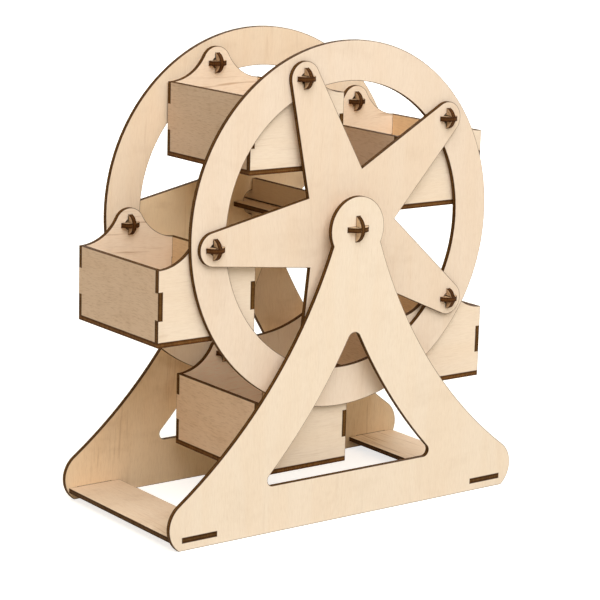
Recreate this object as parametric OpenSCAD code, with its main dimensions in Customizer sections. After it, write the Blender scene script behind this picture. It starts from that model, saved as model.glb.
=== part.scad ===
// Tabletop ferris wheel toy of laser-cut plywood.
// Two arched side frames stand on two planks and carry a fixed axle of two crossed plates.
// A double wheel turns on the axle, and five box gondolas hang from crossed-plate pins.
// Origin: on the ground, under the middle of the axle. X runs along the side frames,
// Y along the axle (front is -Y), Z up. Millimetres.

/* [Plywood] */
// Thickness of the plywood that every piece is cut from
ply = 3; // [2.6:0.1:3.6]

/* [Wheel] */
// Outer radius of the two rings
wheel_r = 115; // [108:1:125]
// Width of the ring band
ring_w = 25; // [22:1:30]
// Distance of the gondola pins from the outer edge of the rings
pin_inset = 15; // [12.5:0.5:17]
// Radius of the round tip of each star arm
arm_tip_r = 10.5; // [9:0.5:12]
// Distance of the notches between the arms from the axle
notch_r = 37; // [30:1:44]
// Angle of the first arm, where the wheel has come to rest
wheel_angle = 111; // [90:1:126]

/* [Gondolas] */
// Outer width of a gondola, across the wheel's face
gondola_w = 70; // [60:1:74]
// Outer length of a gondola, along the axle
gondola_len = 90; // [80:1:100]
// Depth of the rim below the pin
rim_drop = 10.5; // [9.5:0.5:13]
// Height of the gondola walls
wall_h = 44; // [38:1:46]
// Radius of the ear that the pin goes through
ear_r = 10.5; // [9:0.5:12]
// Height of the tabs that join sides and ends
tab_h = 17; // [12:1:22]

/* [Side frames] */
// Height of the axle above the ground
axle_height = 185; // [182:1:200]
// Radius of the round hub at the top of a frame
hub_r = 20.5; // [18.5:0.5:24]
// Half the width across both feet
foot_reach = 136; // [130:1:142]
// Radius of the round foot ends
foot_r = 17.5; // [16:0.5:20]
// Radius of the hollow outer curve of each leg
leg_curve_r = 314; // [290:1:340]
// Width of each leg, between its two curves
leg_w = 36.5; // [32:0.5:40]
// Height of the bar under the triangular window
bar_h = 30; // [26:1:36]
// Half the width of the neck where the legs leave the hub
neck_half_w = 17; // [15:0.5:18]
// Depth of the neck below the axle
neck_drop = 6; // [4:0.5:8]
// Radius at the top of the triangular window
window_top_r = 5; // [3:0.5:7]
// Radius at the lower corners of the triangular window
window_corner_r = 4; // [2:0.5:6]

/* [Planks] */
// Width of the planks that join the two frames
plank_w = 38; // [34:1:42]
// Width of the tabs at the ends of a plank
plank_tab_w = 25; // [18:1:28]
// Distance of the middle of a plank from the outer edge of the feet
plank_inset = 22; // [20:0.5:25]
// Height of the planks above the ground
plank_lift = 5; // [3.5:0.5:8]

/* [Axle and pins] */
// Width of the axle plates between the stars
axle_body_w = 32; // [24:1:38]
// Width of the axle plates where the wheel turns and where the frames hold them
axle_journal_w = 16; // [12:0.5:18]
// Height of the round ends of the axle plates
axle_dome_h = 5.5; // [4:0.5:7]
// Width of the pin plates in their holes
pin_neck_w = 6; // [5:0.25:7]
// Width of the round heads of the pin plates
pin_head_w = 13; // [11:0.5:15]
// Height of the round heads of the pin plates
pin_head_h = 5.5; // [4:0.25:6]

/* [Clearances] */
// Gap between a gondola and the ring beside it
side_gap = 1; // [0.5:0.1:2]
// Play between a pin head and the face beside it
head_play = 0.2; // [0.1:0.05:0.4]
// Gap between the pin heads and the side frame
frame_gap = 1.3; // [1:0.1:3]
// Gap between the wide part of the axle and the star beside it
axle_play = 0.5; // [0.3:0.1:1]
// Play all round between a turning plate edge and its hole
bore_play = 0.06; // [0.03:0.01:0.09]

/* [Hidden] */
$fn = 96;
arm_count = 5;
arm_step = 360 / arm_count;
birch = "#f0d9b8";
birch_side = "#d9b78e";
burnt = "#6d4a2b";

// One length to overrun cuts by
over = ply / 2;
// Depth by which a round bites into the curve that it blends with
bite = 0.02;

// Places that follow from the wheel and from the feet
pin_circle_r = wheel_r - pin_inset;
plank_place = foot_reach - plank_inset;

// Layers along the axle, from the middle outwards
gondola_y = gondola_len / 2;
ring_y = gondola_y + side_gap;
star_y = ring_y + ply;
star_face_y = star_y + ply;
frame_y = star_face_y + head_play + pin_head_h + frame_gap;
frame_face_y = frame_y + ply;

// Plates cross on one line, so their outer corners set the radius of the hole round them
pin_hole_r = norm([pin_neck_w / 2, ply / 2]) + bore_play;
axle_hole_r = norm([axle_journal_w / 2, ply / 2]) + bore_play;

// Heights of the gondola's parts below its pin
wall_foot_z = -rim_drop - wall_h;
tab_z = wall_foot_z + (wall_h - tab_h) / 2;

// Side frame points, measured from the axle
ground_z = -axle_height;
foot_c = [foot_reach - foot_r, ground_z + 0.8 * foot_r];
neck = [neck_half_w, -neck_drop];
curve_c = meeting(neck, leg_curve_r, foot_c, leg_curve_r + foot_r - bite);
foot_touch = blend(foot_c, foot_r, curve_c);
window_curve_r = leg_curve_r + leg_w;
window_foot_z = ground_z + bar_h;
window_top_c = [0, curve_c[1] - side_of(window_curve_r + window_top_r - bite, curve_c[0])];
window_corner_z = window_foot_z + window_corner_r - bite;
window_corner_reach = side_of(window_curve_r + window_corner_r - bite, curve_c[1] - window_corner_z);
window_corner_c = [curve_c[0] - window_corner_reach, window_corner_z];

// Length of one side of a right triangle, from its longest side and the other one
function side_of(longest, other) = sqrt(pow(longest, 2) - pow(other, 2));

// The point at distance p_r from p and q_r from q that lies up and to the right of both
function meeting(p, p_r, q, q_r) =
    let (
        d = norm(q - p),
        along = (pow(p_r, 2) - pow(q_r, 2) + pow(d, 2)) / (2 * d),
        unit = (q - p) / d,
        across = [-unit[1], unit[0]]
    )
    p + along * unit + side_of(p_r, along) * across;

// The point just inside a round of radius r about c, on the line to q, where it blends
function blend(c, r, q) = c + (q - c) * (r - bite / 2) / norm(q - c);

// The point where a line from p touches the circle of radius r about c
function touch(p, c, r, side) =
    let (
        d = norm(c - p),
        turn = acos(r / d),
        toward = (p - c) / d
    )
    c + r * [
        toward[0] * cos(turn) - side * toward[1] * sin(turn),
        side * toward[0] * sin(turn) + toward[1] * cos(turn)
    ];

function polar(r, angle) = r * [cos(angle), sin(angle)];
function arm_angle(k) = wheel_angle + arm_step * (k - 1);
function pin_point(k) = polar(pin_circle_r, arm_angle(k));

// Stands a plate drawn flat, its inner face at distance y from the middle of the toy
module standing(y) {
    translate([0, y + ply, axle_height]) rotate([90, 0, 0]) linear_extrude(ply) children();
}

// Front pieces are the rear ones mirrored
module at_front() {
    mirror([0, 1, 0]) children();
}

module at_pin(k) {
    translate([pin_point(k)[0], 0, axle_height + pin_point(k)[1]]) children();
}

module cross_slot(w) {
    square([w, ply], center = true);
    square([ply, w], center = true);
}

function mirrored(p) = [-p[0], p[1]];

// One side frame: arched legs, round hub and feet, a flat base and a triangular window
module frame_outline() {
    sunk_z = ground_z - foot_r;
    foot_below = [foot_c[0], sunk_z];
    difference() {
        union() {
            circle(hub_r);
            difference() {
                polygon([
                    mirrored(neck), mirrored(foot_touch), mirrored(foot_c), mirrored(foot_below),
                    foot_below, foot_c, foot_touch, neck
                ]);
                for (side = [-1, 1]) translate([side * curve_c[0], curve_c[1]]) circle(leg_curve_r);
            }
            for (side = [-1, 1]) translate([side * foot_c[0], foot_c[1]]) circle(foot_r);
        }
        translate([-2 * foot_reach, sunk_z - over]) square([4 * foot_reach, foot_r + over]);
        frame_window();
        cross_slot(axle_journal_w);
        for (side = [-1, 1]) {
            translate([side * plank_place, ground_z + plank_lift + ply / 2])
                square([plank_tab_w, ply], center = true);
        }
    }
}

// The window follows the legs, with rounds at its top and at its lower corners
module frame_window() {
    top_touch = blend(window_top_c, window_top_r, curve_c);
    corner_touch = blend(window_corner_c, window_corner_r, curve_c);
    corner_foot = [window_corner_c[0], window_foot_z];
    difference() {
        polygon([
            mirrored(top_touch), mirrored(corner_touch), mirrored(window_corner_c), mirrored(corner_foot),
            corner_foot, window_corner_c, corner_touch, top_touch
        ]);
        for (side = [-1, 1]) translate([side * curve_c[0], curve_c[1]]) circle(window_curve_r);
    }
    translate(window_top_c) circle(window_top_r);
    for (side = [-1, 1]) {
        translate([side * window_corner_c[0], window_corner_c[1]]) circle(window_corner_r);
    }
}

module side_frame() {
    color(birch) standing(frame_y) frame_outline();
}

// A plank with one tab at each end, seated in the slots of the side frames
module plank(side) {
    color(birch_side) translate([side * plank_place, 0, plank_lift]) linear_extrude(ply) {
        square([plank_w, 2 * frame_y], center = true);
        square([plank_tab_w, 2 * frame_face_y], center = true);
    }
}

// A round end on a plate that is w wide: the dome stands h above the line y = 0, and its
// straight foot goes down by the depth of a seat
module dome(w, h, seat = 0) {
    dome_r = (pow(w / 2, 2) + pow(h, 2)) / (2 * h);
    intersection() {
        translate([0, h - dome_r]) circle(dome_r);
        translate([-w / 2, -seat]) square([w, h + seat + over]);
    }
}

// Outline of an axle plate, drawn flat with its length along Y
module axle_outline() {
    body_l = 2 * (star_y - axle_play);
    square([axle_body_w, body_l], center = true);
    square([axle_journal_w, 2 * frame_face_y - bite], center = true);
    for (turn = [0, 180]) {
        rotate(turn) translate([0, frame_face_y]) dome(axle_journal_w, axle_dome_h, bite);
    }
}

// Half of a crossed pair: the slot runs from one end to the middle
module axle_plate(slot_side) {
    slot_l = frame_face_y + axle_dome_h + over;
    linear_extrude(ply, center = true) difference() {
        axle_outline();
        translate([-ply / 2, min(0, slot_side * slot_l)]) square([ply, slot_l]);
    }
}

// Outline of a pin plate on the rear side: a narrow neck between two round heads
pin_inner_y = gondola_y - ply - head_play;
pin_outer_y = star_face_y + head_play;
module pin_outline() {
    translate([-pin_neck_w / 2, pin_inner_y]) square([pin_neck_w, pin_outer_y - pin_inner_y]);
    translate([0, pin_outer_y]) dome(pin_head_w, pin_head_h);
    translate([0, pin_inner_y]) mirror([0, 1, 0]) dome(pin_head_w, pin_head_h);
}

module pin_plate(slot_side) {
    middle_y = (pin_inner_y + pin_outer_y) / 2;
    slot_l = (pin_outer_y - pin_inner_y) / 2 + pin_head_h + over;
    linear_extrude(ply, center = true) difference() {
        pin_outline();
        translate([-ply / 2, middle_y + min(0, slot_side * slot_l)]) square([ply, slot_l]);
    }
}

module pin_upright(k) {
    color(burnt) at_pin(k) rotate([0, 90, 0]) pin_plate(1);
}

module pin_level(k) {
    color(burnt) at_pin(k) pin_plate(-1);
}

module axle_plate_upright() {
    color(burnt) translate([0, 0, axle_height]) rotate([0, 90, 0]) axle_plate(1);
}

module axle_plate_level() {
    color(burnt) translate([0, 0, axle_height]) axle_plate(-1);
}

module pin_holes() {
    for (k = [1:arm_count]) translate(pin_point(k)) circle(pin_hole_r);
}

module ring() {
    color(birch) standing(ring_y) difference() {
        circle(wheel_r);
        circle(wheel_r - ring_w);
        pin_holes();
    }
}

// Five tapered arms: straight edges run from each notch to the round tips beside it
module star_outline() {
    polygon([
        for (k = [1:arm_count])
            let (
                before = polar(notch_r, arm_angle(k) - arm_step / 2),
                after = polar(notch_r, arm_angle(k) + arm_step / 2)
            )
            each [
                before,
                touch(before, pin_point(k), arm_tip_r - bite, 1),
                touch(after, pin_point(k), arm_tip_r - bite, -1)
            ]
    ]);
    for (k = [1:arm_count]) translate(pin_point(k)) circle(arm_tip_r);
}

module star() {
    color(birch) standing(star_y) difference() {
        star_outline();
        pin_holes();
        circle(axle_hole_r);
    }
}

// End wall of a gondola: hollow shoulders rise from the rim to the ear on the pin
module end_outline() {
    half_w = gondola_w / 2;
    reach_r = ear_r - bite;
    shoulder_r = (pow(half_w, 2) + pow(rim_drop, 2) - pow(reach_r, 2)) / (2 * (reach_r + rim_drop));
    shoulder_c = [half_w, shoulder_r - rim_drop];
    ear_touch = blend([0, 0], ear_r, shoulder_c);
    difference() {
        union() {
            difference() {
                polygon([
                    [half_w, wall_foot_z], [half_w, -rim_drop], ear_touch,
                    mirrored(ear_touch), [-half_w, -rim_drop], [-half_w, wall_foot_z]
                ]);
                for (side = [-1, 1]) translate([side * shoulder_c[0], shoulder_c[1]]) circle(shoulder_r);
            }
            circle(ear_r);
        }
        circle(pin_hole_r);
        for (side = [-1, 1]) {
            translate([side * (half_w - ply / 2 + over), tab_z + tab_h / 2])
                square([ply + 2 * over, tab_h], center = true);
        }
    }
}

module gondola_end(k) {
    color(birch) translate([pin_point(k)[0], 0, pin_point(k)[1]]) standing(gondola_y - ply) end_outline();
}

// Side wall of a gondola between the ends, with a tab through the notch of each end
module gondola_side(k, side) {
    inner_x = gondola_w / 2 - ply;
    color(birch_side) at_pin(k) mirror([side < 0 ? 1 : 0, 0, 0])
        translate([inner_x, 0, 0]) rotate([90, 0, 90]) linear_extrude(ply) {
            translate([-gondola_y + ply, wall_foot_z]) square([2 * (gondola_y - ply), wall_h]);
            translate([-gondola_y, tab_z]) square([2 * gondola_y, tab_h]);
        }
}

module gondola_floor(k) {
    color(birch_side) at_pin(k) translate([0, 0, wall_foot_z - ply]) linear_extrude(ply)
        square([gondola_w, gondola_len], center = true);
}

at_front() side_frame();  // side_frame_front
side_frame();  // side_frame_rear
plank(-1);  // plank_left
plank(1);  // plank_right
axle_plate_upright();
axle_plate_level();
at_front() ring();  // ring_front
ring();  // ring_rear
at_front() star();  // star_front
star();  // star_rear
at_front() gondola_end(1);  // gondola_1_front_end
gondola_end(1);  // gondola_1_rear_end
gondola_side(1, -1);  // gondola_1_left_side
gondola_side(1, 1);  // gondola_1_right_side
gondola_floor(1);  // gondola_1_floor
at_front() gondola_end(2);  // gondola_2_front_end
gondola_end(2);  // gondola_2_rear_end
gondola_side(2, -1);  // gondola_2_left_side
gondola_side(2, 1);  // gondola_2_right_side
gondola_floor(2);  // gondola_2_floor
at_front() gondola_end(3);  // gondola_3_front_end
gondola_end(3);  // gondola_3_rear_end
gondola_side(3, -1);  // gondola_3_left_side
gondola_side(3, 1);  // gondola_3_right_side
gondola_floor(3);  // gondola_3_floor
at_front() gondola_end(4);  // gondola_4_front_end
gondola_end(4);  // gondola_4_rear_end
gondola_side(4, -1);  // gondola_4_left_side
gondola_side(4, 1);  // gondola_4_right_side
gondola_floor(4);  // gondola_4_floor
at_front() gondola_end(5);  // gondola_5_front_end
gondola_end(5);  // gondola_5_rear_end
gondola_side(5, -1);  // gondola_5_left_side
gondola_side(5, 1);  // gondola_5_right_side
gondola_floor(5);  // gondola_5_floor
at_front() pin_upright(1);  // pin_1_front_upright
at_front() pin_level(1);  // pin_1_front_level
pin_upright(1);  // pin_1_rear_upright
pin_level(1);  // pin_1_rear_level
at_front() pin_upright(2);  // pin_2_front_upright
at_front() pin_level(2);  // pin_2_front_level
pin_upright(2);  // pin_2_rear_upright
pin_level(2);  // pin_2_rear_level
at_front() pin_upright(3);  // pin_3_front_upright
at_front() pin_level(3);  // pin_3_front_level
pin_upright(3);  // pin_3_rear_upright
pin_level(3);  // pin_3_rear_level
at_front() pin_upright(4);  // pin_4_front_upright
at_front() pin_level(4);  // pin_4_front_level
pin_upright(4);  // pin_4_rear_upright
pin_level(4);  // pin_4_rear_level
at_front() pin_upright(5);  // pin_5_front_upright
at_front() pin_level(5);  // pin_5_front_level
pin_upright(5);  // pin_5_rear_upright
pin_level(5);  // pin_5_rear_level
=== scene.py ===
"""Looks of a tabletop ferris wheel of laser-cut plywood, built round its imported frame."""
import math
import random
from typing import NamedTuple

import bpy
from mathutils import Matrix, Vector


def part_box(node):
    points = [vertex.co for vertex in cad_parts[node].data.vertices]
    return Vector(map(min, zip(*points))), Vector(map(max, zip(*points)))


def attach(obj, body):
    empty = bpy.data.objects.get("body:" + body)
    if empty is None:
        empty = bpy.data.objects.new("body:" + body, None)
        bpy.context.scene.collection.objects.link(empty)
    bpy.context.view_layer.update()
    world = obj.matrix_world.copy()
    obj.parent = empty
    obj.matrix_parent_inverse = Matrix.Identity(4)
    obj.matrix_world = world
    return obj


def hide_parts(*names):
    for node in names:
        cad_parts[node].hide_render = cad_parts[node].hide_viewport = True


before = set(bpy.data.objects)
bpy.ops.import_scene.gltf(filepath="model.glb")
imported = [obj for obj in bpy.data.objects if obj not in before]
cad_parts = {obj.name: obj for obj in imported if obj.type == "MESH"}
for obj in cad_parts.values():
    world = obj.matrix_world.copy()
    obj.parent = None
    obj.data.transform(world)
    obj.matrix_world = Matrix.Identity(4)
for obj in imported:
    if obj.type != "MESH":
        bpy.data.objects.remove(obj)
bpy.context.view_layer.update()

bl_info = {
    "name": "Plywood Ferris Wheel",
    "version": (1, 0, 0),
    "blender": (4, 5, 0),
    "location": "View3D > Sidebar > Ferris Wheel",
    "description": "Finishes the boards of a laser-cut ferris wheel and sets up its studio",
    "category": "Object",
}

# Measures of the frame
X, Y, Z = 0, 1, 2
ARMS = range(1, 6)
FINISHED = "_finished"


def middle_of(node):
    """Middle of a board's box, in metres."""
    low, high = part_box(node)
    return (low + high) / 2


AXLE = middle_of("axle_plate_upright")


# Boards

def board_list():
    """Every board: its node, body and board group, its axis through the ply and along the grain."""
    boards = []
    for end in ("front", "rear"):
        boards.append((f"side_frame_{end}", "stand", f"{end}_frame", Y, Z))
        boards.append((f"ring_{end}", "wheel", f"{end}_ring", Y, Z))
        boards.append((f"star_{end}", "wheel", f"{end}_star", Y, Z))
    for side in ("left", "right"):
        boards.append((f"plank_{side}", "stand", "planks", Z, Y))
    boards.append(("axle_plate_upright", "stand", "axle", X, Y))
    boards.append(("axle_plate_level", "stand", "axle", Z, Y))
    for k in ARMS:
        body = f"gondola_{k}"
        for end in ("front", "rear"):
            boards.append((f"gondola_{k}_{end}_end", body, f"gondola_{end}_ends", Y, X))
            boards.append((f"pin_{k}_{end}_upright", body, "pins", X, Y))
            boards.append((f"pin_{k}_{end}_level", body, "pins", Z, Y))
        for side in ("left", "right"):
            boards.append((f"gondola_{k}_{side}_side", body, f"gondola_{side}_sides", X, Y))
        boards.append((f"gondola_{k}_floor", body, "gondola_floors", Z, Y))
    return boards


BOARDS = board_list()

# Tone of the boards that the photograph shows darker or lighter than the rest of their group,
# from -1 to 1, and the reach of the drawn tone of all other boards. The listed tones are partly
# the boards' own tone and partly painted light: boards that stand in shade, such as the rear
# frame, rear ring and rear star, the inner rear ends and the lower gondolas' left sides, are
# painted lighter.
TONES_WITH_PAINTED_LIGHT = {
    "side_frame_front": 0.0, "side_frame_rear": 0.2, "ring_front": 0.0, "ring_rear": 0.3,
    "star_rear": 0.4, "gondola_1_left_side": -0.7, "gondola_2_left_side": 0.0,
    "gondola_3_left_side": 1.0, "gondola_4_left_side": 1.0, "gondola_5_left_side": -0.6,
    "gondola_2_rear_end": 0.3, "gondola_3_rear_end": 0.7,
}
OTHER_TONES = 0.4


# Looks of the board groups

class Look(NamedTuple):
    """Shares, from 0 to 1, of the marks on a group's veneer, and tints that multiply its colours; for the
    groups that stand in shade the face tint is painted shade.
    """

    lines: float
    pores: float
    smudges: float
    face_tint_and_painted_shade: tuple
    browning: float = 0.9
    edge_tint: tuple = (1.0, 1.0, 1.0)


# The face tints of the rear frame, rear ring, rear star, the gondolas' sides and the pins are painted
# shade: these groups stand in shade and are tinted darker and yellower than the front boards
LOOKS = {
    "front_frame": Look(0.06, 0.05, 0.06, face_tint_and_painted_shade=(0.98, 1.04, 1.14)),
    # Painted shade: the rear frame stands in the wheel's shade and is tinted darker and yellower
    "rear_frame": Look(0.25, 0.10, 0.16, face_tint_and_painted_shade=(0.92, 0.87, 0.79)),
    "front_ring": Look(0.08, 0.05, 0.08, face_tint_and_painted_shade=(0.95, 0.98, 1.07)),
    # Painted shade: the rear ring, in shade behind the wheel, is tinted yellower than the front ring
    "rear_ring": Look(0.12, 0.05, 0.08, face_tint_and_painted_shade=(0.96, 0.98, 1.01)),
    "front_star": Look(0.06, 0.05, 0.08, face_tint_and_painted_shade=(0.96, 0.98, 1.05)),
    # Painted shade: the rear star, in shade behind the front star, is tinted darker and yellower
    "rear_star": Look(0.30, 0.05, 0.20, face_tint_and_painted_shade=(0.98, 0.95, 0.84)),
    "planks": Look(0.50, 0.10, 0.20, (1.02, 1.01, 1.03), edge_tint=(0.80, 0.82, 0.95)),
    "axle": Look(0.20, 0.06, 0.06, (0.79, 0.72, 0.63), browning=0.4, edge_tint=(0.80, 0.74, 0.74)),
    "gondola_front_ends": Look(0.15, 0.05, 0.08, face_tint_and_painted_shade=(0.98, 1.02, 1.10)),
    "gondola_rear_ends": Look(0.50, 0.08, 0.10, face_tint_and_painted_shade=(1.04, 1.08, 1.15)),
    # Painted shade: the gondolas' left sides face away from the key lamp and are tinted darker; the right
    # sides, seen from inside the gondolas, are tinted yellower for the shade there
    "gondola_left_sides": Look(0.12, 0.22, 0.10, face_tint_and_painted_shade=(0.81, 0.75, 0.74)),
    "gondola_right_sides": Look(0.12, 0.15, 0.10, face_tint_and_painted_shade=(0.98, 0.90, 0.77)),
    "gondola_floors": Look(0.30, 0.15, 0.20, (1.0, 0.99, 0.94), edge_tint=(1.3, 1.25, 1.5)),
    # Painted shade: the pins are the same birch as the boards, tinted darker for the shade they stand in
    # between the gondola ends and the rings
    "pins": Look(0.30, 0.20, 0.30, (0.62, 0.53, 0.44), browning=0.35, edge_tint=(0.75, 0.62, 0.57)),
}

# Names of what the boards carry for their materials
PLACE = "board_place"
DEPTH = "board_depth"
TONE_AND_PAINTED_LIGHT = "board_tone"
SCORCH = "scorch"
CUT = "cut_edge"


# Settings

def colour_setting(name, description, default):
    return bpy.props.FloatVectorProperty(
        name=name, description=description, subtype="COLOR", size=4,
        default=default, min=0.0, max=1.0,
    )


def length_setting(name, description, default):
    return bpy.props.FloatProperty(
        name=name, description=description, default=default, min=0.0,
        unit="LENGTH", subtype="DISTANCE",
    )


def srgb(red, green, blue):
    """A colour given in screen values of 0 to 255, as the linear values that shaders take."""
    linear = []
    for value in (red, green, blue):
        part = value / 255
        # The two pieces of the sRGB curve
        linear.append(part / 12.92 if part <= 0.04045 else ((part + 0.055) / 1.055) ** 2.4)
    return (*linear, 1.0)


class BoardSettings(bpy.types.PropertyGroup):
    """Colours and cut of the plywood boards."""

    face: colour_setting("Face", "Colour of the birch faces", srgb(246, 226, 202))
    face_warm: colour_setting("Warm face", "Colour of the warmer birch bands", srgb(244, 221, 194))
    grain: colour_setting("Grain", "Colour of the growth lines in the birch", srgb(165, 120, 70))
    edge_core: colour_setting("Edge core", "Colour of the middle layer in a cut edge", srgb(112, 78, 36))
    edge_outer: colour_setting("Edge layers", "Colour of the outer layers in a cut edge", srgb(90, 57, 22))
    char: colour_setting("Char", "Colour of the charred lines in a cut edge", srgb(46, 26, 8))
    scorch_w: length_setting("Scorch width", "Width of the browned line along a cut", 0.0008)
    arris_w: length_setting("Arris", "Width of the worn corner along a cut", 0.00012)


class StudioSettings(bpy.types.PropertyGroup):
    """Light of the studio."""

    key: bpy.props.FloatProperty(
        name="Key light", description="Brightness that the key lamp gives a white board facing it",
        default=0.80, min=0.0,
    )
    back: bpy.props.FloatProperty(
        name="Back light", description="Brightness that the back lamp gives a white board facing it",
        default=0.4, min=0.0,
    )
    front: bpy.props.FloatProperty(
        name="Front light", description="Brightness of the white wall in front of the toy",
        default=0.12, min=0.0,
    )
    ambient: bpy.props.FloatProperty(
        name="Ambient light", description="Brightness of the light from all round",
        default=0.46, min=0.0,
    )
    ambient_tint: colour_setting(
        "Ambient tint", "Colour of the light from all round", (1.0, 0.86, 0.58, 1.0)
    )
    lamp_size: length_setting("Lamp size", "Width of the key lamp and of the back lamp", 2.2)
    floor_half: length_setting("Floor reach", "Half the width of the studio floor", 14.0)


class CameraSettings(bpy.types.PropertyGroup):
    """Place of the camera round the axle."""

    azimuth: bpy.props.FloatProperty(
        name="Azimuth", description="Turn of the camera to the left of the front",
        default=math.radians(37.0815), subtype="ANGLE",
    )
    elevation: bpy.props.FloatProperty(
        name="Elevation", description="Height of the camera above the axle, as an angle",
        default=math.radians(12.376), subtype="ANGLE",
    )
    roll: bpy.props.FloatProperty(
        name="Roll", description="Turn of the camera about its own axis",
        default=math.radians(1.5919), subtype="ANGLE",
    )
    distance: length_setting("Distance", "Distance of the camera from the axle", 1.371387)
    sideways: bpy.props.FloatProperty(
        name="Sideways", description="Offset of the axle to the right in the picture",
        default=-0.001279, unit="LENGTH", subtype="DISTANCE",
    )
    above: bpy.props.FloatProperty(
        name="Above", description="Offset of the axle upwards in the picture",
        default=0.055255, unit="LENGTH", subtype="DISTANCE",
    )
    lens: bpy.props.FloatProperty(
        name="Lens", description="Focal length in millimetres",
        default=129.0, min=1.0, subtype="DISTANCE_CAMERA",
    )


# Board meshes

FLAT_LIMIT = 0.99  # a face of the veneer points this much along the axis through the ply
SAME_PLACE = 0.00004
SAME_PLANE = math.radians(0.4)
SMOOTH_ANGLE = math.radians(35)
ARRIS_ANGLE = math.radians(30)
GRAIN_REACH = 4.0  # how far apart the boards may lie in the same solid pattern of grain


def deselect_all():
    bpy.ops.object.select_all(action="DESELECT")


def pick(piece):
    """Makes one object the only selected one."""
    deselect_all()
    piece.select_set(True)
    bpy.context.view_layer.objects.active = piece


def copy_of(node):
    """A copy of a CAD node with its own mesh, ready to be worked on."""
    pick(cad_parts[node])
    bpy.ops.object.duplicate()
    piece = bpy.context.view_layer.objects.active
    for key in list(piece.keys()):
        del piece[key]
    piece.name = node + FINISHED
    piece.data.name = piece.name
    return piece


def is_flat(face, axis):
    """Whether a face is veneer, and not a cut edge."""
    return abs(face.normal[axis]) > FLAT_LIMIT


def band_along_cuts(piece, axis, settings):
    """Merges the loose triangles and insets both faces, for the browned line along the cuts."""
    bpy.ops.object.mode_set(mode="EDIT")
    bpy.ops.mesh.select_mode(type="FACE")
    bpy.ops.mesh.select_all(action="SELECT")
    bpy.ops.mesh.customdata_custom_splitnormals_clear()
    bpy.ops.mesh.remove_doubles(threshold=SAME_PLACE)
    bpy.ops.mesh.dissolve_limited(angle_limit=SAME_PLANE)
    bpy.ops.mesh.select_all(action="DESELECT")
    bpy.ops.object.mode_set(mode="OBJECT")
    for face in piece.data.polygons:
        face.select = is_flat(face, axis)
    bpy.ops.object.mode_set(mode="EDIT")
    bpy.ops.mesh.inset(thickness=settings.scorch_w, use_boundary=True, use_even_offset=True)
    bpy.ops.object.mode_set(mode="OBJECT")


def worn_arris(piece, settings):
    """Takes the sharp corner off along every cut."""
    arris = piece.modifiers.new("arris", "BEVEL")
    arris.width = settings.arris_w
    arris.segments = 1
    arris.limit_method = "ANGLE"
    arris.angle_limit = ARRIS_ANGLE
    arris.use_clamp_overlap = False
    pick(piece)
    bpy.ops.object.modifier_apply(modifier=arris.name)
    bpy.ops.object.shade_smooth_by_angle(angle=SMOOTH_ANGLE)


def store(mesh, name, kind, domain, part, values):
    """Stores a list of values on a mesh under a name that a material reads."""
    layer = mesh.attributes.new(name, kind, domain)
    layer.data.foreach_set(part, values)


def mark_board(piece, node, axis, grain, draw):
    """Stores what the material reads: the place in the board, its depth, its tone, with painted light for
    the boards in shade, and its cuts.
    """
    mesh = piece.data
    low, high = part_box(node)
    middle = middle_of(node)
    half = (high[axis] - low[axis]) / 2
    across = X + Y + Z - axis - grain
    shift = [draw.uniform(0, GRAIN_REACH) for _ in (X, Y, Z)]
    flip = draw.choice((-1, 1))
    tone_and_painted_light = TONES_WITH_PAINTED_LIGHT.get(node, draw.uniform(-OTHER_TONES, OTHER_TONES))
    by_cut = [0.0] * len(mesh.vertices)
    cuts = []
    for face in mesh.polygons:
        cuts.append(0.0 if is_flat(face, axis) else 1.0)
        if cuts[-1]:
            for index in face.vertices:
                by_cut[index] = 1.0
    places = []
    depths = []
    for vertex in mesh.vertices:
        from_middle = vertex.co - middle
        places.append(flip * from_middle[grain] + shift[0])
        places.append(from_middle[across] + shift[1])
        places.append(from_middle[axis] + shift[2])
        depths.append(from_middle[axis] / half)
    store(mesh, PLACE, "FLOAT_VECTOR", "POINT", "vector", places)
    store(mesh, DEPTH, "FLOAT", "POINT", "value", depths)
    store(mesh, TONE_AND_PAINTED_LIGHT, "FLOAT", "POINT", "value", [tone_and_painted_light] * len(depths))
    store(mesh, SCORCH, "FLOAT", "POINT", "value", by_cut)
    store(mesh, CUT, "FLOAT", "FACE", "value", cuts)


def finish_boards(group):
    """Makes the finished copy of every board of one group and puts it on its body."""
    settings = bpy.context.scene.wheel_boards
    material = board_material(group)
    for index, (node, body, board_group, axis, grain) in enumerate(BOARDS):
        if board_group != group:
            continue
        draw = random.Random(index)
        piece = copy_of(node)
        band_along_cuts(piece, axis, settings)
        worn_arris(piece, settings)
        mark_board(piece, node, axis, grain, draw)
        piece.data.materials.clear()
        piece.data.materials.append(material)
        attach(piece, body)
        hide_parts(node)


# Shader building blocks

def new_group(name, inputs, outputs):
    """An empty shader node group with named sockets."""
    group = bpy.data.node_groups.new(name, "ShaderNodeTree")
    for label, kind, default in inputs:
        socket = group.interface.new_socket(name=label, in_out="INPUT", socket_type=kind)
        if default is not None:
            socket.default_value = default
    for label, kind in outputs:
        group.interface.new_socket(name=label, in_out="OUTPUT", socket_type=kind)
    entry = group.nodes.new("NodeGroupInput")
    leave = group.nodes.new("NodeGroupOutput")
    return group, entry, leave


def plug(tree, socket, value):
    """Links a socket to another one, or sets its value."""
    if isinstance(value, bpy.types.NodeSocket):
        tree.links.new(value, socket)
    else:
        socket.default_value = value


def maths(tree, operation, first, second=None, clamp=False):
    """A sum, difference or other result of one or two values."""
    node = tree.nodes.new("ShaderNodeMath")
    node.operation = operation
    node.use_clamp = clamp
    plug(tree, node.inputs[0], first)
    if second is not None:
        plug(tree, node.inputs[1], second)
    return node.outputs[0]


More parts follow.
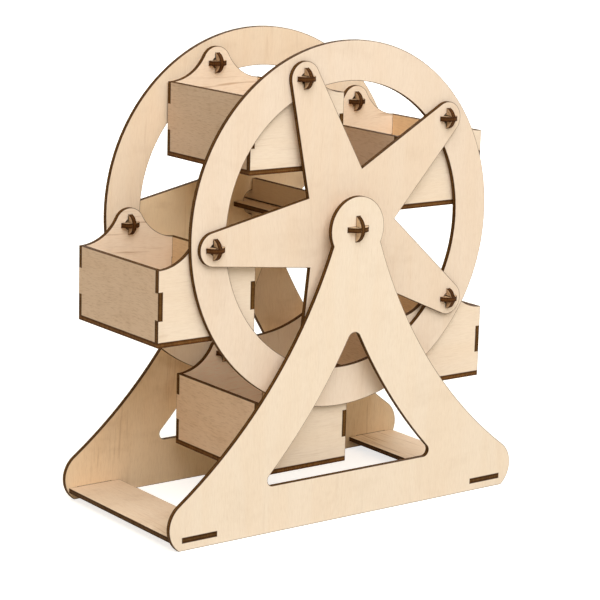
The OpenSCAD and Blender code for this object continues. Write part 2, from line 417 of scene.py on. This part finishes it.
def vector_maths(tree, operation, first, second):
    """A result of two vectors: a vector, except for the dot product, which is a value."""
    node = tree.nodes.new("ShaderNodeVectorMath")
    node.operation = operation
    plug(tree, node.inputs[0], first)
    plug(tree, node.inputs[1], second)
    return node.outputs["Value" if operation == "DOT_PRODUCT" else "Vector"]


def noise(tree, place, scale, detail=3.0, roughness=0.5):
    """Noise with its own scale per metre along the grain, across it and through the board."""
    node = tree.nodes.new("ShaderNodeTexNoise")
    plug(tree, node.inputs["Vector"], vector_maths(tree, "MULTIPLY", place, scale))
    node.inputs["Scale"].default_value = 1.0
    node.inputs["Detail"].default_value = detail
    node.inputs["Roughness"].default_value = roughness
    return node.outputs[0]


def ramp(tree, value, low, high, out_low=0.0, out_high=1.0):
    """Maps a value smoothly from one range to another and clamps it."""
    node = tree.nodes.new("ShaderNodeMapRange")
    node.interpolation_type = "SMOOTHSTEP"
    plug(tree, node.inputs["Value"], value)
    plug(tree, node.inputs["From Min"], low)
    plug(tree, node.inputs["From Max"], high)
    plug(tree, node.inputs["To Min"], out_low)
    plug(tree, node.inputs["To Max"], out_high)
    return node.outputs[0]


# The mix node has a pair of sockets for each kind of value; these are the first of each pair
MIX_VALUES = 2
MIX_COLOURS = 6
MIXED_COLOUR = 2


def blend_values(tree, factor, first, second):
    """Mixes two values."""
    node = tree.nodes.new("ShaderNodeMix")
    plug(tree, node.inputs[0], factor)
    plug(tree, node.inputs[MIX_VALUES], first)
    plug(tree, node.inputs[MIX_VALUES + 1], second)
    return node.outputs[0]


def blend_colours(tree, factor, first, second, kind="MIX"):
    """Mixes two colours, or adds or multiplies them."""
    node = tree.nodes.new("ShaderNodeMix")
    node.data_type = "RGBA"
    node.blend_type = kind
    plug(tree, node.inputs[0], factor)
    plug(tree, node.inputs[MIX_COLOURS], first)
    plug(tree, node.inputs[MIX_COLOURS + 1], second)
    return node.outputs[MIXED_COLOUR]


def laid_over(tree, colour, share, mask, over):
    """A colour with another laid over it where the mask says, as strongly as the share says."""
    return blend_colours(tree, maths(tree, "MULTIPLY", mask, share), colour, over)


# Birch veneer: scales of its noises, per metre along the grain, across it and through the board
BEND_SCALE = (9, 22, 22)
BAND_SCALE = (7, 70, 70)
LINE_SCALE = (22, 430, 430)
PATCH_SCALE = (16, 60, 60)
PORE_SCALE = (210, 1400, 1400)
SMUDGE_SCALE = (60, 28, 28)
FIBRE_SCALE = (160, 1500, 1500)

# Range of each noise over which its mark grows from none to full
BAND_RANGE = (0.35, 0.7)
LINE_RANGE = (0.54, 0.72)
PATCH_RANGE = (0.4, 0.62)
PORE_RANGE = (0.48, 0.70)
SMUDGE_RANGE = (0.5, 0.75)
FIBRE_RANGE = (0.3, 0.7)

NOISE_MIDDLE = 0.5
BEND_REACH = 0.016  # metres that the grain wanders sideways
BAND_SHARE = 0.6
TONE_WARMTH = 0.15
FIBRE_SHARE = 0.055
TONE_LIGHT = (0.88, 1.12)  # brightness of the darkest and of the lightest board
FACE_ROUGHNESS = (0.56, 0.68)
FIBRE_HEIGHT = 0.5
LINE_HEIGHT = 0.4


def birch_face_group():
    """Birch veneer: broad bands, growth lines, short pores and faint smudges."""
    name = "birch face"
    if name in bpy.data.node_groups:
        return bpy.data.node_groups[name]
    group, entry, leave = new_group(
        name,
        (
            ("Place", "NodeSocketVector", None),
            ("Tone", "NodeSocketFloat", 0.0),
            ("Face", "NodeSocketColor", None),
            ("Warm", "NodeSocketColor", None),
            ("Grain", "NodeSocketColor", None),
            ("Lines", "NodeSocketFloat", 0.3),
            ("Pores", "NodeSocketFloat", 0.3),
            ("Smudges", "NodeSocketFloat", 0.2),
            ("Tint", "NodeSocketColor", None),
        ),
        (
            ("Colour", "NodeSocketColor"),
            ("Roughness", "NodeSocketFloat"),
            ("Height", "NodeSocketFloat"),
        ),
    )
    place = entry.outputs["Place"]
    # A slow bend makes the grain wander
    bend = noise(group, place, BEND_SCALE, detail=1.0)
    bend = maths(group, "MULTIPLY", maths(group, "SUBTRACT", bend, NOISE_MIDDLE), BEND_REACH)
    shift = group.nodes.new("ShaderNodeCombineXYZ")
    plug(group, shift.inputs[Y], bend)
    bent = vector_maths(group, "ADD", place, shift.outputs[0])
    # Broad bands of warmer wood
    bands = ramp(group, noise(group, bent, BAND_SCALE), *BAND_RANGE)
    # Growth lines, thin and long, in patches
    lines = ramp(group, noise(group, bent, LINE_SCALE, detail=2.0, roughness=0.6), *LINE_RANGE)
    patches = ramp(group, noise(group, bent, PATCH_SCALE, detail=1.0), *PATCH_RANGE)
    lines = maths(group, "MULTIPLY", lines, patches)
    # Short pores
    pores = ramp(group, noise(group, bent, PORE_SCALE, detail=2.0), *PORE_RANGE)
    # Faint smudges across the grain
    smudges = ramp(group, noise(group, place, SMUDGE_SCALE, roughness=0.6), *SMUDGE_RANGE)
    # Fine fibres
    fibres = noise(group, bent, FIBRE_SCALE, detail=2.0)
    fibre_share = ramp(group, fibres, *FIBRE_RANGE, 0.0, FIBRE_SHARE)
    # Colour, from the plain veneer up
    # The tone is each board's own tone, with painted light for the boards that stand in shade
    tone_and_painted_light = entry.outputs["Tone"]
    grain = entry.outputs["Grain"]
    warm_bands = maths(group, "MULTIPLY", bands, BAND_SHARE)
    warm_tone = maths(group, "MULTIPLY", tone_and_painted_light, TONE_WARMTH)
    warmth = maths(group, "ADD", warm_bands, warm_tone, clamp=True)
    colour = blend_colours(group, warmth, entry.outputs["Face"], entry.outputs["Warm"])
    colour = laid_over(group, colour, entry.outputs["Lines"], lines, grain)
    colour = laid_over(group, colour, entry.outputs["Pores"], pores, grain)
    colour = laid_over(group, colour, entry.outputs["Smudges"], smudges, grain)
    colour = blend_colours(group, fibre_share, colour, grain)
    # The tint multiplies in painted shade for the groups that stand in shade
    colour = blend_colours(group, 1.0, colour, entry.outputs["Tint"], kind="MULTIPLY")
    shade = group.nodes.new("ShaderNodeVectorMath")
    shade.operation = "SCALE"
    plug(group, shade.inputs[0], colour)
    plug(group, shade.inputs["Scale"], ramp(group, tone_and_painted_light, -1.0, 1.0, *TONE_LIGHT))
    plug(group, leave.inputs["Colour"], shade.outputs[0])
    plug(group, leave.inputs["Roughness"], ramp(group, fibres, *FIBRE_RANGE, *FACE_ROUGHNESS))
    # Height, with the pores and lines sunk in
    height = maths(group, "MULTIPLY", fibres, FIBRE_HEIGHT)
    height = maths(group, "SUBTRACT", height, pores)
    height = maths(group, "SUBTRACT", height, maths(group, "MULTIPLY", lines, LINE_HEIGHT))
    plug(group, leave.inputs["Height"], height)
    return group


# Cut edges: scales of the noises, as for the veneer
WOBBLE_SCALE = (160, 160, 20)
STREAK_SCALE = (2600, 2600, 160)
CLOUD_SCALE = (110, 110, 60)
STREAK_RANGE = (0.35, 0.7)
CLOUD_RANGE = (0.4, 0.75)

# Depth in the ply, from 0 in its middle to 1 at its faces
LAYER_START = (0.30, 0.42)
GLUE_IN = (0.28, 0.36)
GLUE_OUT = (0.36, 0.46)
RIM_START = (0.74, 0.98)
WOBBLE_REACH = 0.16

# How strongly each mark chars the edge
STREAK_CHAR = 0.5
CLOUD_CHAR = 0.35
GLUE_CHAR = 0.7
RIM_CHAR = 0.85
EDGE_ROUGHNESS = (0.62, 0.82)
STREAK_HEIGHT = -0.5


def cut_edge_group():
    """A laser-cut edge: three layers of ply with charred glue lines and fine burn streaks."""
    name = "cut edge"
    if name in bpy.data.node_groups:
        return bpy.data.node_groups[name]
    group, entry, leave = new_group(
        name,
        (
            ("Place", "NodeSocketVector", None),
            ("Depth", "NodeSocketFloat", 0.0),
            ("Core", "NodeSocketColor", None),
            ("Outer", "NodeSocketColor", None),
            ("Char", "NodeSocketColor", None),
            ("Tint", "NodeSocketColor", None),
        ),
        (
            ("Colour", "NodeSocketColor"),
            ("Roughness", "NodeSocketFloat"),
            ("Height", "NodeSocketFloat"),
        ),
    )
    place = entry.outputs["Place"]
    char = entry.outputs["Char"]
    # The layers of ply, with a glue line between them and a rim at each face
    wobble = noise(group, place, WOBBLE_SCALE, detail=2.0)
    wobble = maths(group, "MULTIPLY", maths(group, "SUBTRACT", wobble, NOISE_MIDDLE), WOBBLE_REACH)
    depth = maths(group, "ABSOLUTE", maths(group, "ADD", entry.outputs["Depth"], wobble))
    in_outer = ramp(group, depth, *LAYER_START)
    glue_end = ramp(group, depth, *GLUE_OUT, 1.0, 0.0)
    glue = maths(group, "MULTIPLY", ramp(group, depth, *GLUE_IN), glue_end)
    rim = ramp(group, depth, *RIM_START)
    # The marks of the laser
    streaks = ramp(group, noise(group, place, STREAK_SCALE, detail=2.0), *STREAK_RANGE)
    clouds = ramp(group, noise(group, place, CLOUD_SCALE), *CLOUD_RANGE)
    colour = blend_colours(group, in_outer, entry.outputs["Core"], entry.outputs["Outer"])
    colour = laid_over(group, colour, STREAK_CHAR, streaks, char)
    colour = laid_over(group, colour, CLOUD_CHAR, clouds, char)
    colour = laid_over(group, colour, GLUE_CHAR, glue, char)
    colour = laid_over(group, colour, RIM_CHAR, rim, char)
    colour = blend_colours(group, 1.0, colour, entry.outputs["Tint"], kind="MULTIPLY")
    plug(group, leave.inputs["Colour"], colour)
    plug(group, leave.inputs["Roughness"], ramp(group, streaks, 0.0, 1.0, *EDGE_ROUGHNESS))
    height = maths(group, "MULTIPLY", streaks, STREAK_HEIGHT)
    height = maths(group, "SUBTRACT", height, glue)
    plug(group, leave.inputs["Height"], height)
    return group


def attribute(tree, name):
    """A value or vector that the board's mesh carries."""
    node = tree.nodes.new("ShaderNodeAttribute")
    node.attribute_name = name
    return node


def group_node(tree, group, **values):
    """A node group put to use, with its inputs linked or set."""
    node = tree.nodes.new("ShaderNodeGroup")
    node.node_tree = group
    for label, value in values.items():
        plug(tree, node.inputs[label], value)
    return node


SPECULAR_LEVEL = 0.1
BUMP_STRENGTH = 0.35
BUMP_DISTANCE = 0.0001
SCORCH_START = 0.35  # share of the browned band's width that stays pale


def board_material(group_name):
    """The material of one group of boards: birch faces, browned cuts and charred edges."""
    settings = bpy.context.scene.wheel_boards
    look = LOOKS[group_name]
    material = bpy.data.materials.new(group_name + " plywood")
    material.use_nodes = True
    tree = material.node_tree
    tree.nodes.clear()
    place = attribute(tree, PLACE).outputs["Vector"]
    face = group_node(
        tree, birch_face_group(), Place=place, Tone=attribute(tree, TONE_AND_PAINTED_LIGHT).outputs["Fac"],
        Face=settings.face, Warm=settings.face_warm, Grain=settings.grain,
        Lines=look.lines, Pores=look.pores, Smudges=look.smudges, Tint=(*look.face_tint_and_painted_shade, 1.0),
    )
    edge = group_node(
        tree, cut_edge_group(), Place=place, Depth=attribute(tree, DEPTH).outputs["Fac"],
        Core=settings.edge_core, Outer=settings.edge_outer, Char=settings.char,
        Tint=(*look.edge_tint, 1.0),
    )
    by_cut = attribute(tree, SCORCH).outputs["Fac"]
    scorch = ramp(tree, by_cut, SCORCH_START, 1.0, 0.0, look.browning)
    browned = blend_colours(tree, scorch, face.outputs["Colour"], settings.edge_outer)
    cut = attribute(tree, CUT).outputs["Fac"]
    colour = blend_colours(tree, cut, browned, edge.outputs["Colour"])
    roughness = blend_values(tree, cut, face.outputs["Roughness"], edge.outputs["Roughness"])
    height = blend_values(tree, cut, face.outputs["Height"], edge.outputs["Height"])
    bump = tree.nodes.new("ShaderNodeBump")
    bump.inputs["Strength"].default_value = BUMP_STRENGTH
    bump.inputs["Distance"].default_value = BUMP_DISTANCE
    plug(tree, bump.inputs["Height"], height)
    shader = tree.nodes.new("ShaderNodeBsdfPrincipled")
    shader.inputs["Specular IOR Level"].default_value = SPECULAR_LEVEL
    plug(tree, shader.inputs["Base Color"], colour)
    plug(tree, shader.inputs["Roughness"], roughness)
    plug(tree, shader.inputs["Normal"], bump.outputs["Normal"])
    output = tree.nodes.new("ShaderNodeOutputMaterial")
    plug(tree, output.inputs["Surface"], shader.outputs["BSDF"])
    return material


# Studio

KEY_DIRECTION = (-0.28, -1.0, 1.05)
BACK_DIRECTION = (0.7, 1.0, 0.5)
LAMP_DISTANCE = 2.6
FRONT_DIRECTION = (-0.3, -1.0, 0.5)
CAMERA_REACH = 100.0
WHITE = (1.0, 1.0, 1.0, 1.0)

# The floor glows less near the toy, so that the toy's shadow shows there
FLOOR_COLOUR = (0.66, 0.64, 0.60, 1.0)
NEAR_GLOW = 0.72
FAR_GLOW = 1.0
GLOW_REACH = (0.35, 1.3)  # metres from the middle of the floor


def seen_directly(tree):
    """1 for the rays that show a backdrop: from the camera, or through gloss and glass."""
    path = tree.nodes.new("ShaderNodeLightPath")
    seen = maths(tree, "ADD", path.outputs["Is Camera Ray"], path.outputs["Is Glossy Ray"])
    return maths(tree, "ADD", seen, path.outputs["Is Transmission Ray"], clamp=True)


def floor_material():
    """Pale floor that reads as white, and darkens only in the shadow of the toy."""
    material = bpy.data.materials.new("studio floor")
    material.use_nodes = True
    tree = material.node_tree
    tree.nodes.clear()
    shader = tree.nodes.new("ShaderNodeBsdfDiffuse")
    shader.inputs["Color"].default_value = FLOOR_COLOUR
    light = tree.nodes.new("ShaderNodeEmission")
    place = tree.nodes.new("ShaderNodeTexCoord").outputs["Object"]
    reach = tree.nodes.new("ShaderNodeVectorMath")
    reach.operation = "LENGTH"
    plug(tree, reach.inputs[0], place)
    glow = ramp(tree, reach.outputs["Value"], *GLOW_REACH, NEAR_GLOW, FAR_GLOW)
    plug(tree, light.inputs["Strength"], maths(tree, "MULTIPLY", seen_directly(tree), glow))
    both = tree.nodes.new("ShaderNodeAddShader")
    plug(tree, both.inputs[0], shader.outputs[0])
    plug(tree, both.inputs[1], light.outputs[0])
    output = tree.nodes.new("ShaderNodeOutputMaterial")
    plug(tree, output.inputs["Surface"], both.outputs[0])
    return material


def white_world(settings):
    """Even light from all round, more of it from the front, and a white backdrop."""
    world = bpy.data.worlds.new("studio")
    world.use_nodes = True
    bpy.context.scene.world = world
    tree = world.node_tree
    tree.nodes.clear()
    even = (*[part * settings.ambient for part in settings.ambient_tint[:3]], 1.0)
    direction = tree.nodes.new("ShaderNodeTexCoord").outputs["Generated"]
    front_wall = Vector(FRONT_DIRECTION).normalized()
    share = maths(tree, "MAXIMUM", vector_maths(tree, "DOT_PRODUCT", direction, front_wall), 0.0)
    front = (*[settings.front] * 3, 1.0)
    lit = blend_colours(tree, share, even, front, kind="ADD")
    light = tree.nodes.new("ShaderNodeBackground")
    plug(tree, light.inputs["Color"], blend_colours(tree, seen_directly(tree), lit, WHITE))
    output = tree.nodes.new("ShaderNodeOutputWorld")
    plug(tree, output.inputs["Surface"], light.outputs[0])


def lamp(name, direction, size, brightness):
    """A square lamp that faces the toy; a white board facing it shines with that brightness."""
    data = bpy.data.lights.new(name, "AREA")
    data.shape = "SQUARE"
    data.size = size
    data.energy = brightness * (math.pi * LAMP_DISTANCE) ** 2
    piece = bpy.data.objects.new(name, data)
    bpy.context.scene.collection.objects.link(piece)
    toward = Vector(direction).normalized()
    piece.location = AXLE + toward * LAMP_DISTANCE
    piece.rotation_euler = toward.to_track_quat("Z", "Y").to_euler()


def camera_place(settings):
    """The camera's place and turn, from its angles round the axle."""
    turn = settings.azimuth
    rise = settings.elevation
    ahead = Vector((math.sin(turn) * math.cos(rise), math.cos(turn) * math.cos(rise), -math.sin(rise)))
    level_right = ahead.cross(Vector((0, 0, 1))).normalized()
    level_up = level_right.cross(ahead)
    cos_roll = math.cos(settings.roll)
    sin_roll = math.sin(settings.roll)
    right = level_right * cos_roll + level_up * sin_roll
    up = level_up * cos_roll - level_right * sin_roll
    place = AXLE - right * settings.sideways - up * settings.above - ahead * settings.distance
    turned = Matrix((right, up, -ahead)).transposed().to_4x4()
    return Matrix.Translation(place) @ turned


# Operators

class BoardStep:
    """What the operators of the boards share: each one finishes its own board groups."""

    groups = ()

    def execute(self, context):
        for group in self.groups:
            finish_boards(group)
        return {"FINISHED"}


class WHEEL_OT_side_frames(BoardStep, bpy.types.Operator):
    """Finish the two arched side frames"""

    bl_idname = "wheel.side_frames"
    bl_label = "Side frames"
    groups = ("front_frame", "rear_frame")


class WHEEL_OT_planks(BoardStep, bpy.types.Operator):
    """Finish the two planks between the side frames"""

    bl_idname = "wheel.planks"
    bl_label = "Planks"
    groups = ("planks",)


class WHEEL_OT_axle(BoardStep, bpy.types.Operator):
    """Finish the two crossed plates of the axle"""

    bl_idname = "wheel.axle"
    bl_label = "Axle"
    groups = ("axle",)


class WHEEL_OT_rings(BoardStep, bpy.types.Operator):
    """Finish the two rings of the wheel"""

    bl_idname = "wheel.rings"
    bl_label = "Rings"
    groups = ("front_ring", "rear_ring")


class WHEEL_OT_stars(BoardStep, bpy.types.Operator):
    """Finish the two five-armed stars of the wheel"""

    bl_idname = "wheel.stars"
    bl_label = "Stars"
    groups = ("front_star", "rear_star")


class WHEEL_OT_gondolas(BoardStep, bpy.types.Operator):
    """Finish the ends, sides and floors of the five gondolas"""

    bl_idname = "wheel.gondolas"
    bl_label = "Gondolas"
    groups = (
        "gondola_front_ends", "gondola_rear_ends", "gondola_left_sides", "gondola_right_sides",
        "gondola_floors",
    )


class WHEEL_OT_pins(BoardStep, bpy.types.Operator):
    """Finish the crossed plates of the ten gondola pins"""

    bl_idname = "wheel.pins"
    bl_label = "Pins"
    groups = ("pins",)


class WHEEL_OT_stage(bpy.types.Operator):
    """Lay the pale floor and set up the lamps and the white backdrop"""

    bl_idname = "wheel.stage"
    bl_label = "Stage"

    def execute(self, context):
        settings = context.scene.wheel_studio
        deselect_all()
        bpy.ops.mesh.primitive_plane_add(size=2 * settings.floor_half, location=(0, 0, 0))
        floor = context.view_layer.objects.active
        floor.name = "studio_floor"
        floor.data.materials.append(floor_material())
        white_world(settings)
        lamp("key_lamp", KEY_DIRECTION, settings.lamp_size, settings.key)
        lamp("back_lamp", BACK_DIRECTION, settings.lamp_size, settings.back)
        context.scene.view_settings.view_transform = "Standard"
        return {"FINISHED"}


class WHEEL_OT_camera(bpy.types.Operator):
    """Stand the camera where the photograph was taken from"""

    bl_idname = "wheel.camera"
    bl_label = "Camera"

    def execute(self, context):
        settings = context.scene.wheel_camera
        data = bpy.data.cameras.new("camera")
        data.lens = settings.lens
        data.clip_end = CAMERA_REACH
        piece = bpy.data.objects.new("camera", data)
        context.scene.collection.objects.link(piece)
        piece.matrix_world = camera_place(settings)
        context.scene.camera = piece
        return {"FINISHED"}


class WHEEL_PT_panel(bpy.types.Panel):
    """Settings and steps of the ferris wheel"""

    bl_idname = "WHEEL_PT_panel"
    bl_label = "Ferris Wheel"
    bl_space_type = "VIEW_3D"
    bl_region_type = "UI"
    bl_category = "Ferris Wheel"

    def draw(self, context):
        scene = context.scene
        for group in (scene.wheel_boards, scene.wheel_studio, scene.wheel_camera):
            box = self.layout.box()
            for name in group.bl_rna.properties.keys():
                if name not in ("rna_type", "name"):
                    box.prop(group, name)
        for step in STEPS:
            self.layout.operator(step.bl_idname)


STEPS = (
    WHEEL_OT_side_frames, WHEEL_OT_planks, WHEEL_OT_axle, WHEEL_OT_rings, WHEEL_OT_stars,
    WHEEL_OT_gondolas, WHEEL_OT_pins, WHEEL_OT_stage, WHEEL_OT_camera,
)
SETTINGS = {
    "wheel_boards": BoardSettings,
    "wheel_studio": StudioSettings,
    "wheel_camera": CameraSettings,
}
CLASSES = (*SETTINGS.values(), *STEPS, WHEEL_PT_panel)


def register():
    for item in CLASSES:
        bpy.utils.register_class(item)
    for name, group in SETTINGS.items():
        setattr(bpy.types.Scene, name, bpy.props.PointerProperty(type=group))


def unregister():
    for name in SETTINGS:
        delattr(bpy.types.Scene, name)
    for item in reversed(CLASSES):
        bpy.utils.unregister_class(item)


def main():
    register()
    bpy.ops.wheel.side_frames()
    bpy.ops.wheel.planks()
    bpy.ops.wheel.axle()
    bpy.ops.wheel.rings()
    bpy.ops.wheel.stars()
    bpy.ops.wheel.gondolas()
    bpy.ops.wheel.pins()
    bpy.ops.wheel.stage()
    bpy.ops.wheel.camera()


if __name__ == "__main__":
    main()
